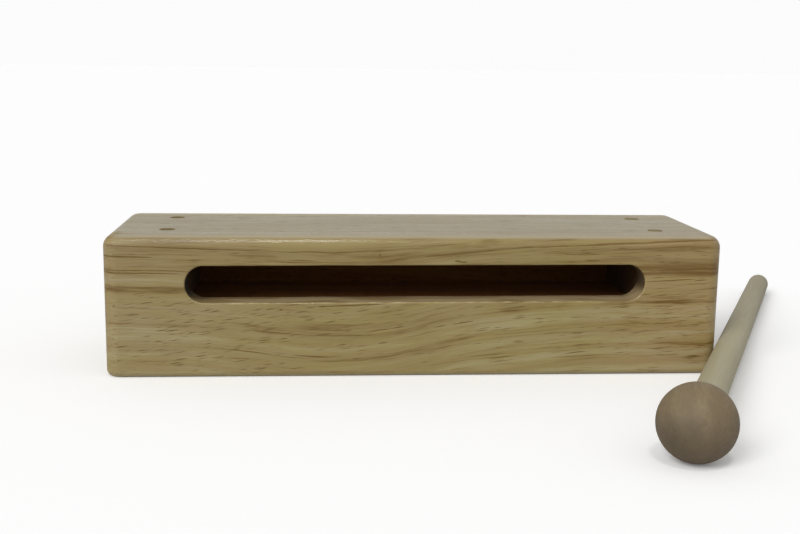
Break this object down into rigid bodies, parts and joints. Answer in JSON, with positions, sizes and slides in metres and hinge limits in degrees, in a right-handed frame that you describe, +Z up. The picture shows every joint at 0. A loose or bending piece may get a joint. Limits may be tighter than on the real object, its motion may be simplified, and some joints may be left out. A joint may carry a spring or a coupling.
{
  "type": "woodblock",
  "caption": "Hollow wooden percussion block with a routed slot along its front, pegged boards round a resonance cavity, and a loose ball-headed mallet beside it.",
  "frame": {"origin": "centre of the block's underside, on the surface that it stands on", "axes": "+X along the block's length to the right as seen from the slot, +Y from the slot to the back, +Z up"},
  "size_m": [0.271, 0.2315, 0.046],
  "materials": {
    "board_wood": "satin lacquer over open-pored pale hardwood",
    "peg_wood": "end grain, sanded flush and lacquered",
    "head_wood": "turned and oiled, matte",
    "handle_wood": "turned and sanded, bare"
  },
  "bodies": {
    "block": {"front_board": "board_wood", "back_board": "board_wood", "top_plate": "board_wood", "base_block": "board_wood", "left_end_block": "board_wood", "right_end_block": "board_wood", "front_left_peg": "peg_wood", "back_left_peg": "peg_wood", "front_right_peg": "peg_wood", "back_right_peg": "peg_wood"},
    "mallet": {"mallet_head": "head_wood", "mallet_handle": "handle_wood"}
  },
  "joints": [
    {"name": "mallet_lift", "type": "slide", "parent": "block", "child": "mallet", "axis": [0, 0, 1], "range_m": [0, 0.15]}
  ]
}
